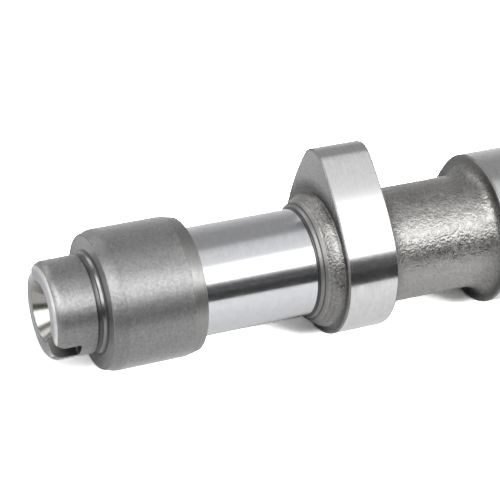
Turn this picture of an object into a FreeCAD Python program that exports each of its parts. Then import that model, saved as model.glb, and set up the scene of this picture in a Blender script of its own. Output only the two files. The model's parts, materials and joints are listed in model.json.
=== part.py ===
"""Cast-iron camshaft: six lobes in three pairs, four ground journals, a slotted drive nose.

Millimetres and degrees. X runs along the shaft from the drive nose (minus) to the front seat
(plus), Y across it and Z up. The origin is on the shaft's axis, at the middle of the journal
next to the thrust collar. The shaft lies as it rests on a bench, on the flanks of two lobes.
"""
import FreeCAD, Part
import math
import os
import Sketcher

NODE = "camshaft"
CYLINDERS = 3
TOUCHING = 1e-3  # two places nearer than this are the same place
LEAST_CUT = 1.0  # cubic millimetres that any pocket takes away

# Driving dimensions: one plain number each, with what it means
DRIVING = [
    ("journal_diameter", "28", "every ground bearing journal"),
    ("journal_length", "31.1", "drive-end journal, collar to groove"),
    ("collar_diameter", "36", "thrust collar, turned"),
    ("collar_length", "24.7", "thrust collar, face to face"),
    ("collar_front_bevel", "2.8", "front bevel of the collar, along the axis"),
    ("collar_front_drop", "0.9", "front bevel of the collar, off the radius"),
    ("collar_rear_bevel", "3.7", "rear taper of the collar, along the axis"),
    ("collar_rear_drop", "0.8", "rear taper of the collar, off the radius"),
    ("nose_diameter", "25", "drive nose, turned"),
    ("nose_length", "13", "drive nose, end face to collar face"),
    ("nose_chamfer", "1.5", "45 degree chamfer at the end face"),
    ("root_groove_width", "1.3", "dark groove near the nose's root"),
    ("root_groove_depth", "0.4", "the same groove, off the radius"),
    ("root_ring_width", "1.1", "ring between the groove and the collar face"),
    ("root_ring_rise", "0.9", "height that the ring climbs to the collar face"),
    ("centre_mouth", "14.8", "lathe centre in the drive nose, across its mouth"),
    ("centre_depth", "5.2", "length of the centre's 60 degree cone"),
    ("bore_diameter", "8.8", "blind bore behind the centre"),
    ("bore_depth", "18", "end face to the end of the bore's straight wall"),
    ("bore_point_depth", "2.6", "drill point beyond the wall"),
    ("slot_width", "4.7", "drive slot across the end face"),
    ("slot_depth", "6.6", "drive slot, back from the end face"),
    ("slot_angle", "36.5", "slot's run, from Y towards Z"),
    ("slot_offset", "0.37", "slot's middle line, off the axis"),
    ("groove_depth", "0.35", "relief groove beside a journal, off the radius"),
    ("groove_width", "0.6", "the same groove, along the axis"),
    ("inner_ring_step", "0.45", "first turned ring, above the journal"),
    ("inner_ring_rise", "0.5", "first turned ring, climb towards the lobe"),
    ("inner_ring_width", "0.9", "first turned ring, along the axis"),
    ("outer_ring_step", "0.55", "second turned ring, above the first"),
    ("outer_ring_rise", "0.8", "second turned ring, climb towards the lobe"),
    ("outer_ring_width", "1.6", "second turned ring, along the axis"),
    ("boss_drop", "2.3", "cast boss at a lobe's side, below the base circle"),
    ("boss_rise", "1.1", "the same boss, climb towards the lobe"),
    ("relief_length", "5.9", "journal's end to the lobe's side"),
    ("cam_base_diameter", "40", "base circle of every lobe"),
    ("cam_lift", "9.6", "nose of a lobe above its base circle"),
    ("cam_nose_radius", "7", "round at the lobe's nose"),
    ("cam_flank_radius", "75", "convex flanks"),
    ("cam_width", "14", "lobe's width along the shaft"),
    ("cam_edge", "0.5", "bevelled edges of a lobe"),
    ("cam_phase", "84.2", "first lobe's nose, from Y towards Z"),
    ("cam_separation", "108.4", "angle between the two lobes of one cylinder"),
    ("lobe_spacing", "45.5", "middle to middle, the two lobes of one cylinder"),
    ("bearing_width", "16.7", "middle journals, between their grooves"),
    ("web_diameter", "30", "cast shaft between the lobes of a pair"),
    ("web_flare_length", "5.6", "cast flare of that shaft at a lobe"),
    ("web_flare_drop", "2.4", "the same flare at a lobe's side, below the base circle"),
    ("front_journal_length", "22", "journal before the front seat"),
    ("seat_diameter", "24", "front seat for the timing wheel"),
    ("seat_length", "22", "front seat, shoulder to end face"),
    ("seat_chamfer", "1.2", "45 degree chamfer of the seat"),
    ("key_width", "5", "keyway in the front seat"),
    ("key_depth", "2.8", "keyway, below the top of the seat"),
    ("key_length", "14", "keyway with its round end"),
    ("tap_diameter", "10.2", "drilled wall of the M12 centre hole"),
    ("tap_depth", "26", "length of that wall below its countersink"),
    ("tap_point_depth", "3", "drill point beyond the wall"),
    ("countersink_diameter", "13.4", "60 degree centre at the hole's mouth"),
    ("countersink_depth", "2.8", "the same centre, along the axis"),
]

# Places and radii worked out from the driving dimensions
DERIVED = [
    ("journal_radius", "=journal_diameter / 2"),
    ("journal_half", "=journal_length / 2"),
    ("nose_radius", "=nose_diameter / 2"),
    ("nose_face_radius", "=nose_radius - nose_chamfer"),
    ("root_radius", "=nose_radius - root_groove_depth"),
    ("root_groove_start", "=nose_length - root_ring_width - root_groove_width"),
    ("root_groove_end", "=nose_length - root_ring_width"),
    ("root_ring_radius", "=nose_radius + root_ring_rise"),
    ("nose_start", "=-(journal_half + collar_length + nose_length)"),
    ("collar_start", "=-(journal_half + collar_length)"),
    ("collar_radius", "=collar_diameter / 2"),
    ("collar_front_radius", "=collar_radius - collar_front_drop"),
    ("collar_rear_radius", "=collar_radius - collar_rear_drop"),
    ("collar_rear_start", "=collar_length - collar_rear_bevel"),
    ("centre_radius", "=centre_mouth / 2"),
    ("bore_radius", "=bore_diameter / 2"),
    ("bore_point", "=bore_depth + bore_point_depth"),
    ("slot_low", "=slot_offset - slot_width / 2"),
    ("slot_high", "=slot_offset + slot_width / 2"),
    ("cam_base_radius", "=cam_base_diameter / 2"),
    ("groove_radius", "=journal_radius - groove_depth"),
    ("inner_small_radius", "=journal_radius + inner_ring_step"),
    ("inner_large_radius", "=inner_small_radius + inner_ring_rise"),
    ("inner_ring_end", "=groove_width + inner_ring_width"),
    ("outer_small_radius", "=inner_large_radius + outer_ring_step"),
    ("outer_large_radius", "=outer_small_radius + outer_ring_rise"),
    ("outer_ring_end", "=inner_ring_end + outer_ring_width"),
    ("boss_large_radius", "=cam_base_radius - boss_drop"),
    ("boss_small_radius", "=boss_large_radius - boss_rise"),
    ("cam_nose_centre", "=cam_base_radius + cam_lift - cam_nose_radius"),
    ("first_lobe_start", "=journal_half + relief_length"),
    ("cylinder_pitch", "=lobe_spacing + cam_width + 2 * relief_length + bearing_width"),
    ("web_length", "=lobe_spacing - cam_width"),
    ("web_radius", "=web_diameter / 2"),
    ("web_flare_end", "=web_length - web_flare_length"),
    ("web_flare_radius", "=cam_base_radius - web_flare_drop"),
    ("bearing_start", "=first_lobe_start + lobe_spacing + cam_width + relief_length"),
    ("seat_radius", "=seat_diameter / 2"),
    ("seat_chamfer_radius", "=seat_radius - seat_chamfer"),
    ("seat_chamfer_start", "=seat_length - seat_chamfer"),
    ("tap_radius", "=tap_diameter / 2"),
    ("tap_wall_end", "=countersink_depth + tap_depth"),
    ("tap_point", "=countersink_depth + tap_depth + tap_point_depth"),
    ("countersink_radius", "=countersink_diameter / 2"),
]

doc = FreeCAD.newDocument(NODE)
sheet = doc.addObject("Spreadsheet::Sheet", "sizes")


def fill_sheet():
    """Write both lists into the sheet and give every value cell its alias."""
    for row, (alias, number, meaning) in enumerate(DRIVING, start=1):
        sheet.set(f"A{row}", meaning)
        sheet.set(f"B{row}", number)
        sheet.setAlias(f"B{row}", alias)
    for row, (alias, formula) in enumerate(DERIVED, start=len(DRIVING) + 2):
        sheet.set(f"A{row}", alias.replace("_", " "))
        sheet.setAlias(f"B{row}", alias)
        sheet.set(f"B{row}", formula)
    doc.recompute()


def size(alias):
    """The present number in the cell of that alias."""
    return float(sheet.get(alias))


fill_sheet()
body = doc.addObject("PartDesign::Body", NODE)
body.Label = NODE


def origin_part(role):
    """The body's own origin plane or axis of that role."""
    return next(item for item in body.Origin.OriginFeatures if item.Role == role)


def new_sketch(name, role, shift, turn=FreeCAD.Rotation()):
    """A sketch on an origin plane, moved along one axis to a place bound to the sheet.

    shift is (axis letter of the attachment, expression), turn a rotation within it.
    """
    sketch = body.newObject("Sketcher::SketchObject", name)
    sketch.AttachmentSupport = [(origin_part(role), "")]
    sketch.MapMode = "FlatFace"
    sketch.AttachmentOffset = FreeCAD.Placement(FreeCAD.Vector(0, 0, 0), turn)
    letter, expression = shift
    sketch.setExpression(f"AttachmentOffset.Base.{letter}", expression)
    return sketch


def bind(sketch, constraint, expression):
    """Add a named dimension and tie it to an expression of the sheet."""
    index = sketch.addConstraint(constraint)
    sketch.setExpression(f"Constraints[{index}]", expression)


def place(alias):
    """A sketch coordinate: the cell's number, or 0 on the axis."""
    return size(alias) if alias else 0.0


def turned_sketch(sketch, corners, flares=()):
    """A closed half section whose corners are (distance, radius) aliases.

    flares lists the sides that are arcs, as (side, straight side that it runs into).
    """
    points = [FreeCAD.Vector(place(x), place(radius), 0) for x, radius in corners]
    arcs = dict(flares)
    for side, start in enumerate(points):
        end = points[(side + 1) % len(points)]
        if side in arcs:
            sketch.addGeometry(flare_arc(start, end, arcs[side] > side))
        else:
            sketch.addGeometry(Part.LineSegment(start, end))
    smooth = {max(pair) for pair in flares}
    for side, (x, radius) in enumerate(corners):
        after = (side + 1) % len(points)
        join = "Tangent" if after in smooth else "Coincident"
        sketch.addConstraint(Sketcher.Constraint(join, side, 2, after, 1))
        for kind, alias in (("DistanceX", x), ("DistanceY", radius)):
            first = Sketcher.Constraint(kind, -1, 1, side, 1, place(alias))
            if alias:
                bind(sketch, first, f"sizes.{alias}")
            else:
                sketch.addConstraint(first)


def flare_arc(start, end, runs_into_next):
    """The hollow arc of a cast flare, level where it meets the plain shaft."""
    low, high = (end, start) if runs_into_next else (start, end)
    across, up = high.x - low.x, high.y - low.y
    radius = (across * across + up * up) / (2 * up)
    circle = Part.Circle(FreeCAD.Vector(low.x, low.y + radius, 0),
                         FreeCAD.Vector(0, 0, 1), radius)
    bottom = -math.pi / 2
    reach = math.asin(abs(across) / radius)
    if across < 0:
        return Part.ArcOfCircle(circle, bottom - reach, bottom)
    return Part.ArcOfCircle(circle, bottom, bottom + reach)


def revolve(name, sketch, kind="PartDesign::Revolution"):
    """Turn a half section about the shaft's axis, as metal or as a cut."""
    feature = body.newObject(kind, name)
    feature.Profile = sketch
    feature.ReferenceAxis = (origin_part("X_Axis"), [""])
    feature.Angle = 360
    return feature


def turned(name, start, corners, flares=(), mirrored=False, kind="PartDesign::Revolution"):
    """A turned or cast round length of the shaft that starts at an expression."""
    turn = FreeCAD.Rotation(FreeCAD.Vector(0, 1, 0), 180 if mirrored else 0)
    sketch = new_sketch(f"{name}_section", "XZ_Plane", ("x", start), turn)
    turned_sketch(sketch, corners, flares)
    return revolve(name, sketch, kind)


def drive_nose():
    """The nose that the ancillary drive slots into, with the groove at its root."""
    turned("drive_nose", "sizes.nose_start", [
        ("", ""), ("", "nose_face_radius"), ("nose_chamfer", "nose_radius"),
        ("root_groove_start", "nose_radius"), ("root_groove_start", "root_radius"),
        ("root_groove_end", "root_radius"), ("root_groove_end", "nose_radius"),
        ("nose_length", "root_ring_radius"), ("nose_length", "")])


def thrust_collar():
    """The wide turned collar, bevelled in front and tapered behind."""
    turned("thrust_collar", "sizes.collar_start", [
        ("", ""), ("", "collar_front_radius"), ("collar_front_bevel", "collar_radius"),
        ("collar_rear_start", "collar_radius"), ("collar_length", "collar_rear_radius"),
        ("collar_length", "")])


def journal(name, start, length):
    """A plain ground bearing journal."""
    sketch = new_sketch(f"{name}_section", "YZ_Plane", ("z", start))
    sketch.addGeometry(Part.Circle(FreeCAD.Vector(0, 0, 0), FreeCAD.Vector(0, 0, 1),
                                   size("journal_radius")))
    sketch.addConstraint(Sketcher.Constraint("Coincident", 0, 3, -1, 1))
    bind(sketch, Sketcher.Constraint("Radius", 0, size("journal_radius")),
         "sizes.journal_radius")
    pad = body.newObject("PartDesign::Pad", name)
    pad.Profile = sketch
    pad.setExpression("Length", length)


def relief(name, start, mirrored):
    """Groove, two turned rings and the cast boss between a journal and a lobe."""
    turned(name, start, [
        ("", ""), ("", "groove_radius"), ("groove_width", "groove_radius"),
        ("groove_width", "inner_small_radius"), ("inner_ring_end", "inner_large_radius"),
        ("inner_ring_end", "outer_small_radius"), ("outer_ring_end", "outer_large_radius"),
        ("outer_ring_end", "boss_small_radius"), ("relief_length", "boss_large_radius"),
        ("relief_length", "")], mirrored=mirrored)


def cam_outline(sketch):
    """Base circle, two convex flanks and the nose round, tangent all the way."""
    base, nose, flank = size("cam_base_radius"), size("cam_nose_radius"), size("cam_flank_radius")
    centre = size("cam_nose_centre")
    base_gap, nose_gap = flank - base, flank - nose
    flank_x = (base_gap ** 2 - nose_gap ** 2 + centre ** 2) / (2 * centre)
    flank_y = math.sqrt(base_gap ** 2 - flank_x ** 2)
    at_base = math.atan2(flank_y, -flank_x)
    at_nose = math.atan2(flank_y, centre - flank_x)

    def arc(x, y, radius, first, last):
        circle = Part.Circle(FreeCAD.Vector(x, y, 0), FreeCAD.Vector(0, 0, 1), radius)
        return sketch.addGeometry(Part.ArcOfCircle(circle, first, last))

    round_back = arc(0, 0, base, at_base, 2 * math.pi - at_base)
    lower = arc(flank_x, flank_y, flank, -at_base, -at_nose)
    tip = arc(centre, 0, nose, -at_nose, at_nose)
    upper = arc(flank_x, -flank_y, flank, at_nose, at_base)
    chain = [round_back, lower, tip, upper]
    for before, after in zip(chain, chain[1:] + chain[:1]):
        sketch.addConstraint(Sketcher.Constraint("Tangent", before, 2, after, 1))
    sketch.addConstraint(Sketcher.Constraint("Coincident", round_back, 3, -1, 1))
    sketch.addConstraint(Sketcher.Constraint("PointOnObject", tip, 3, -1))
    bind(sketch, Sketcher.Constraint("Radius", round_back, base), "sizes.cam_base_radius")
    bind(sketch, Sketcher.Constraint("Radius", tip, nose), "sizes.cam_nose_radius")
    bind(sketch, Sketcher.Constraint("Radius", upper, flank), "sizes.cam_flank_radius")
    sketch.addConstraint(Sketcher.Constraint("Equal", upper, lower))
    bind(sketch, Sketcher.Constraint("DistanceX", -1, 1, tip, 3, centre),
         "sizes.cam_nose_centre")


def lobe(name, start, direction):
    """One cam lobe: its side faces where the expression says, its nose turned to direction."""
    sketch = new_sketch(f"{name}_outline", "YZ_Plane", ("z", start))
    sketch.setExpression("AttachmentOffset.Rotation.Angle", direction)
    cam_outline(sketch)
    pad = body.newObject("PartDesign::Pad", name)
    pad.Profile = sketch
    pad.setExpression("Length", "sizes.cam_width")
    bevel_edges(name, pad)


def bevel_edges(name, pad):
    """Take the sharp edge off both sides of the lobe that was added last."""
    doc.recompute()
    added = pad.AddSubShape.BoundBox
    names = []
    for number, edge in enumerate(pad.Shape.Edges, start=1):
        middle = edge.valueAt((edge.FirstParameter + edge.LastParameter) / 2)
        on_side = any(all(abs(point.X - x) < TOUCHING for point in edge.Vertexes)
                      for x in (added.XMin, added.XMax))
        on_rim = math.hypot(middle.y, middle.z) > size("cam_base_radius") - TOUCHING
        if on_side and on_rim:
            names.append(f"Edge{number}")
    bevel = body.newObject("PartDesign::Chamfer", f"{name}_edges")
    bevel.Base = (pad, names)
    bevel.setExpression("Size", "sizes.cam_edge")


def web(name, start):
    """Cast shaft between the two lobes of a pair, flared where it runs into them."""
    turned(name, start, [
        ("", ""), ("", "web_flare_radius"), ("web_flare_length", "web_radius"),
        ("web_flare_end", "web_radius"), ("web_length", "web_flare_radius"),
        ("web_length", "")], flares=((1, 2), (3, 2)))


def front_seat():
    """Plain seat for the timing wheel, past the last journal."""
    turned("front_seat", SEAT_START, [
        ("", ""), ("", "seat_radius"), ("seat_chamfer_start", "seat_radius"),
        ("seat_length", "seat_chamfer_radius"), ("seat_length", "")])


def drive_bore():
    """Lathe centre and blind bore of the nose, with the drill's point at the end."""
    turned("drive_bore", "sizes.nose_start", [
        ("", ""), ("", "centre_radius"), ("centre_depth", "bore_radius"),
        ("bore_depth", "bore_radius"), ("bore_point", "")],
        kind="PartDesign::Groove")


def centre_hole():
    """Tapped centre hole of the front seat, with its 60 degree mouth."""
    turned("centre_hole", f"{SEAT_START} + sizes.seat_length", [
        ("", ""), ("", "countersink_radius"), ("countersink_depth", "tap_radius"),
        ("tap_wall_end", "tap_radius"), ("tap_point", "")],
        mirrored=True, kind="PartDesign::Groove")


def pocket(name, sketch, depth, reversed_cut):
    """Cut a sketch into the shaft, and make sure that it took metal away."""
    doc.recompute()
    before = body.Shape.Volume
    cut = body.newObject("PartDesign::Pocket", name)
    cut.Profile = sketch
    cut.setExpression("Length", depth)
    cut.Reversed = reversed_cut
    doc.recompute()
    if body.Shape.Volume > before - LEAST_CUT:
        raise RuntimeError(f"{name} cuts nothing")


def rectangle(sketch, left, right, low, high):
    """Four bound sides; each of left, right, low and high is (number, expression)."""
    corners = [(left, low), (right, low), (right, high), (left, high)]
    points = [FreeCAD.Vector(x[0], y[0], 0) for x, y in corners]
    for side, start in enumerate(points):
        sketch.addGeometry(Part.LineSegment(start, points[(side + 1) % 4]))
    for side in range(4):
        sketch.addConstraint(Sketcher.Constraint("Coincident", side, 2, (side + 1) % 4, 1))
    for side, kind in enumerate(("Horizontal", "Vertical", "Horizontal", "Vertical")):
        sketch.addConstraint(Sketcher.Constraint(kind, side))
    for kind, (number, expression), corner in (("DistanceX", left, 0), ("DistanceX", right, 1),
                                               ("DistanceY", low, 0), ("DistanceY", high, 2)):
        bind(sketch, Sketcher.Constraint(kind, -1, 1, corner, 1, number), expression)


def drive_slot():
    """Slot across the nose's end face, through both sides of the bore."""
    sketch = new_sketch("drive_slot_outline", "YZ_Plane", ("z", "sizes.nose_start"))
    sketch.setExpression("AttachmentOffset.Rotation.Angle", "sizes.slot_angle")
    reach = size("nose_diameter")
    rectangle(sketch, (-reach, "-sizes.nose_diameter"), (reach, "sizes.nose_diameter"),
              (size("slot_low"), "sizes.slot_low"), (size("slot_high"), "sizes.slot_high"))
    pocket("drive_slot", sketch, "sizes.slot_depth", True)


def keyway():
    """Keyway along the top of the front seat, open at the end face, round at its other end."""
    sketch = new_sketch("keyway_outline", "XY_Plane", ("z", "sizes.seat_radius"))
    end = f"({SEAT_START} + sizes.seat_length)"
    end_x = shaft_place(CYLINDERS - 1, "bearing_start") + size("front_journal_length")
    end_x += size("seat_length")
    half, length = size("key_width") / 2, size("key_length")
    back_x = end_x - length + half
    low = sketch.addGeometry(Part.LineSegment(FreeCAD.Vector(back_x, -half, 0),
                                              FreeCAD.Vector(end_x, -half, 0)))
    mouth = sketch.addGeometry(Part.LineSegment(FreeCAD.Vector(end_x, -half, 0),
                                                FreeCAD.Vector(end_x, half, 0)))
    high = sketch.addGeometry(Part.LineSegment(FreeCAD.Vector(end_x, half, 0),
                                               FreeCAD.Vector(back_x, half, 0)))
    circle = Part.Circle(FreeCAD.Vector(back_x, 0, 0), FreeCAD.Vector(0, 0, 1), half)
    back = sketch.addGeometry(Part.ArcOfCircle(circle, math.pi / 2, 3 * math.pi / 2))
    sketch.addConstraint(Sketcher.Constraint("Coincident", low, 2, mouth, 1))
    sketch.addConstraint(Sketcher.Constraint("Coincident", mouth, 2, high, 1))
    sketch.addConstraint(Sketcher.Constraint("Tangent", high, 2, back, 1))
    sketch.addConstraint(Sketcher.Constraint("Tangent", back, 2, low, 1))
    sketch.addConstraint(Sketcher.Constraint("Vertical", mouth))
    sketch.addConstraint(Sketcher.Constraint("Horizontal", low))
    sketch.addConstraint(Sketcher.Constraint("PointOnObject", back, 3, -1))
    bind(sketch, Sketcher.Constraint("Radius", back, half), "sizes.key_width / 2")
    bind(sketch, Sketcher.Constraint("DistanceX", -1, 1, mouth, 1, end_x), end)
    bind(sketch, Sketcher.Constraint("DistanceX", -1, 1, back, 3, back_x),
         f"{end} - sizes.key_length + sizes.key_width / 2")
    pocket("keyway", sketch, "sizes.key_depth", False)


def shaft_place(cylinder, alias):
    """A place on the shaft, moved along it by whole cylinders."""
    return size(alias) + cylinder * size("cylinder_pitch")


def build_shaft():
    """Every length of the shaft in order, from the drive nose to the front seat."""
    drive_nose()
    thrust_collar()
    journal("journal_1", "-sizes.journal_half", "sizes.journal_length")
    for cylinder in range(CYLINDERS):
        number = cylinder + 1
        along = f"{cylinder} * sizes.cylinder_pitch"
        firing = f"{cylinder} * {360 / CYLINDERS:g}"
        first = f"sizes.first_lobe_start + {along}"
        relief(f"relief_{number}a", f"{first} - sizes.relief_length", False)
        lobe(f"lobe_{number}a", first, f"sizes.cam_phase - {firing}")
        web(f"web_{number}", f"{first} + sizes.cam_width")
        lobe(f"lobe_{number}b", f"{first} + sizes.lobe_spacing",
             f"sizes.cam_phase - sizes.cam_separation - {firing}")
        bearing = f"sizes.bearing_start + {along}"
        relief(f"relief_{number}b", bearing, True)
        last = number == CYLINDERS
        journal(f"journal_{number + 1}", bearing,
                "sizes.front_journal_length" if last else "sizes.bearing_width")
    front_seat()


SEAT_START = (f"sizes.bearing_start + {CYLINDERS - 1} * sizes.cylinder_pitch"
              " + sizes.front_journal_length")

build_shaft()
drive_bore()
drive_slot()
centre_hole()
keyway()
doc.recompute()

for item in doc.Objects:
    if "Invalid" in item.State or "Error" in item.State:
        raise RuntimeError(f"{item.Name} failed: {item.State}")

shaft = body.Shape
if shaft.isNull() or not shaft.isValid() or len(shaft.Solids) != 1:
    raise RuntimeError("the shaft is not one valid solid")
os.makedirs("parts", exist_ok=True)
shaft.exportStep(f"parts/{NODE}.step")

box = shaft.optimalBoundingBox(False, False)
print(f"{NODE}: {shaft.Volume / 1000:.1f} cm3, {box.XLength:.2f} x {box.YLength:.2f} x "
      f"{box.ZLength:.2f} mm, x {box.XMin:.2f} to {box.XMax:.2f}, lowest z {box.ZMin:.2f}, "
      f"{len(shaft.Faces)} faces")
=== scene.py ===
# %% [markdown]
# # A camshaft, cast in one piece and machined where it works
# The real shaft comes out of a sand mould as one iron casting. A lathe then turns the nose, the
# collar and the rings, and a grinding wheel finishes the journals and the six lobes. The webs
# between the lobes keep their rough cast skin.
# Here the whole shaft is one mesh too. Its shape follows a rule: a half section is swept round
# the axis, and where there is a lobe, the radius changes with the angle. Geometry Nodes are good
# at rules, so one tree makes the shaft, and the materials then tell the finishes apart.

# %% Load the frame
import bmesh
import bpy
import json
import math
from mathutils import Matrix, Vector


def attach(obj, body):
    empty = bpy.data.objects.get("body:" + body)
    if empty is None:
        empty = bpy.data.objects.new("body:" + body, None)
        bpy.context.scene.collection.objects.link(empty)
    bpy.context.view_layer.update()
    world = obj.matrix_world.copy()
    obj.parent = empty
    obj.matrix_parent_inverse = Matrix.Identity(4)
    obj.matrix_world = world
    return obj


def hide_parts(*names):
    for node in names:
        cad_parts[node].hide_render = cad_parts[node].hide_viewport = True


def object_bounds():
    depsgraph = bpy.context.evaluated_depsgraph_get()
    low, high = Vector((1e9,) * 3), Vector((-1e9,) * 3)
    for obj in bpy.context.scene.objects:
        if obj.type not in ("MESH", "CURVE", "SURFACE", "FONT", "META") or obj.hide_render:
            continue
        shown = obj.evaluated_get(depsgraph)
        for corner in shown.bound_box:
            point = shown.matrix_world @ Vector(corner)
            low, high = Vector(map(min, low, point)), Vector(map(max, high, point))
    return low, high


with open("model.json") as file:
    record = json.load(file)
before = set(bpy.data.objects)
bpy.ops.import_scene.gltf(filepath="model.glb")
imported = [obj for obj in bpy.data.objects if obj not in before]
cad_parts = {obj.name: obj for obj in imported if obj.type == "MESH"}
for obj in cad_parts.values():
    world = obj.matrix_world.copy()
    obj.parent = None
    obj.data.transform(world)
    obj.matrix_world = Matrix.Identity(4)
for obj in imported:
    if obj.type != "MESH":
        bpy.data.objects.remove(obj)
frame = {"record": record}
CAD_BOX = [list(corner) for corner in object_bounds()]
MM = 0.001
print("CAD box in mm:", [[round(value / MM, 2) for value in corner] for corner in CAD_BOX])

# %% [markdown]
# ## Where things are along the shaft
# The packed record names the places where other parts meet the shaft, with their centres, radii
# and lengths. The section can be worked out from these mounts, so that it can't drift away from
# the solid model. All the section's sizes are kept in millimetres, as a machinist's drawing has
# them, and become metres only when the mesh is made.

# %% Read the mounts
mounts = {mount["name"]: mount for mount in frame["record"]["mounts"]}


def radius_of(name):
    """The radius of a mount, in millimetres."""
    return mounts[name]["dims"]["r_mm"]


def ends_of(name):
    """Where a mount starts and ends along the shaft, in millimetres."""
    middle = mounts[name]["pos_m"][0] / MM
    half = mounts[name]["dims"]["length_mm"] / 2
    return middle - half, middle + half


JOURNAL_MOUNTS = ("journal_drive_end", "journal_2", "journal_3", "journal_front")
journals = [ends_of(name) for name in JOURNAL_MOUNTS]
nose_end_x, front_end_x = (corner[0] / MM for corner in CAD_BOX)
collar_face_x = mounts["thrust_face"]["pos_m"][0] / MM
print("journals:", [[round(x, 2) for x in ends] for ends in journals])

# %% [markdown]
# ## The rule of a lobe
# Seen along the shaft, a lobe is four arcs that run into each other without a corner: the base
# circle, two gently curved flanks and a small round at the nose. For a sweep the outline has to
# be a radius for every angle. The two angles where one arc hands over to the next are found once
# from the arcs' centres, with plain trigonometry.

# %% Work out the lobe's arcs
BASE_RADIUS, LIFT, NOSE_RADIUS, FLANK_RADIUS = 20.0, 9.6, 7.0, 75.0
nose_centre = BASE_RADIUS + LIFT - NOSE_RADIUS
base_gap, nose_gap = FLANK_RADIUS - BASE_RADIUS, FLANK_RADIUS - NOSE_RADIUS
flank_along = (base_gap ** 2 - nose_gap ** 2 + nose_centre ** 2) / (2 * nose_centre)
flank_aside = -math.sqrt(base_gap ** 2 - flank_along ** 2)


def hand_over(centre, radius):
    """The angle, seen from the shaft's axis, of the point where the flank meets another arc."""
    away = Vector((centre - flank_along, -flank_aside)).normalized()
    point = Vector((centre, 0)) + away * radius
    return math.atan2(point.y, point.x)


nose_until = hand_over(nose_centre, NOSE_RADIUS)
flank_until = hand_over(0, BASE_RADIUS)
print("nose arc up to", round(math.degrees(nose_until), 1), "degrees, flank up to",
      round(math.degrees(flank_until), 1))

# %% [markdown]
# ## The half section
# A lathe hand would draw the shaft as a half section, a line that goes from the bottom of the
# drive bore round the outside to the bottom of the front centre hole. Here it is a list of rows.
# A row has its place along the shaft, its radius, how much of a lobe it is, how rough its cast
# skin is, and the finish of the strip that leads to it. A real edge is never quite sharp, so a
# corner becomes a few rows a hair apart, and the narrow strips between them catch the light.

# %% Rows of the section
FINISHES = ["bored", "faced", "satin", "ground", "turned", "cast", "side", "lobe", "edge",
            "threaded", "groove", "chamfer", "ring", "thrust", "bevel"]
CUT_FINISHES = ["slot", "keyway"]  # these come with the cutters, not with a strip
CORNERS = {"ground": "edge", "thrust": "bevel"}  # the corners with a finish of their own
ROW_NUMBERS = ("radius", "cam", "inset", "phase", "skin", "lean", "hollow")
WIDE_EDGE, WIDE_EDGE_STRIPS = 0.25, 4  # from this width on, an edge is a round of so many strips
section = []


def row(x, radius, finish, edge=0.0, **numbers):
    """Add one row. edge is the width that a broken corner takes off each side."""
    section.append({**dict.fromkeys(ROW_NUMBERS, 0.0), "x": x, "radius": radius,
                    "finish": finish, "edge": edge, **numbers})


def broken_corners(rows):
    """The same rows, with a few in place of each corner that has an edge."""
    done = []
    for number, here in enumerate(rows):
        if not here["edge"]:
            done.append(here)
            continue
        spot = Vector((here["x"], here["radius"]))
        before, after = (Vector((other["x"], other["radius"])) - spot
                         for other in (rows[number - 1], rows[number + 1]))
        before, after = (spot + side.normalized() * here["edge"] for side in (before, after))
        steps = 1 if here["edge"] < WIDE_EDGE else WIDE_EDGE_STRIPS
        for step in range(steps + 1):
            share = step / steps
            point = before.lerp(spot, share).lerp(spot.lerp(after, share), share)
            strip = CORNERS.get(here["finish"], here["finish"]) if step else here["finish"]
            done.append({**here, "x": point.x, "radius": point.y, "finish": strip})
    return done


# %% [markdown]
# ## Drive nose and thrust collar
# The nose is a stub with a slot, into which a pump or a distributor hooks. In its end is the
# cone of a lathe centre, on which the shaft ran while it was ground, and a blind bore behind it. A
# narrow groove and a polished ring part it from the collar, whose front face takes the shaft's
# end thrust. These are plain turned steps, so a few corners are enough.

# %% Section of the nose and the collar
NOSE_RADIUS_OUT, COLLAR_RADIUS = radius_of("drive_nose"), 18.0
CENTRE_RADIUS, BORE_POINT = 7.4, 2.6
NOSE_CHAMFER = 1.5
ROOT_GROOVE, RING_RISE, RING_WIDTH = 0.4, 0.3, 0.55
FRONT_BEVEL, FRONT_BEVEL_LENGTH = 0.9, 2.8
REAR_CHAMFER, REAR_CHAMFER_LENGTH = 0.8, 3.7
JOURNAL = radius_of("journal_drive_end")
bore, bore_ends = radius_of("drive_bore"), ends_of("drive_bore")
root_x = collar_face_x - 2 * RING_WIDTH

row(bore_ends[1] + BORE_POINT, 0, "bored")
row(bore_ends[1], bore, "bored", edge=0.2)
row(bore_ends[0], bore, "bored", edge=0.15)
row(nose_end_x, CENTRE_RADIUS, "bored", edge=0.3)
row(nose_end_x, NOSE_RADIUS_OUT - NOSE_CHAMFER, "faced", edge=0.7)
row(nose_end_x + NOSE_CHAMFER, NOSE_RADIUS_OUT, "satin", edge=1.1)
row(root_x - 1.3, NOSE_RADIUS_OUT, "satin", edge=0.12)
row(root_x - 1.1, NOSE_RADIUS_OUT - ROOT_GROOVE, "groove", edge=0.1)
row(root_x - 0.2, NOSE_RADIUS_OUT - ROOT_GROOVE, "groove", edge=0.1)
row(root_x, NOSE_RADIUS_OUT + 0.05, "groove", edge=0.06)
row(root_x + RING_WIDTH, NOSE_RADIUS_OUT + RING_RISE, "ring", edge=0.1)
# The ring's far slope takes the dark groove finish: painted shade.
row(collar_face_x, NOSE_RADIUS_OUT + 3 * RING_RISE, "groove")
row(collar_face_x, COLLAR_RADIUS - FRONT_BEVEL, "thrust", edge=0.3)
row(collar_face_x + FRONT_BEVEL_LENGTH, COLLAR_RADIUS, "bevel", edge=0.9)
row(journals[0][0] - REAR_CHAMFER_LENGTH, COLLAR_RADIUS, "satin", edge=0.3)
row(journals[0][0], COLLAR_RADIUS - REAR_CHAMFER, "chamfer", edge=0.15)
# The corner down to the journal takes the dark groove finish too: painted shade.
row(journals[0][0], JOURNAL, "groove")
print(len(section), "rows up to the first journal")

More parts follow.
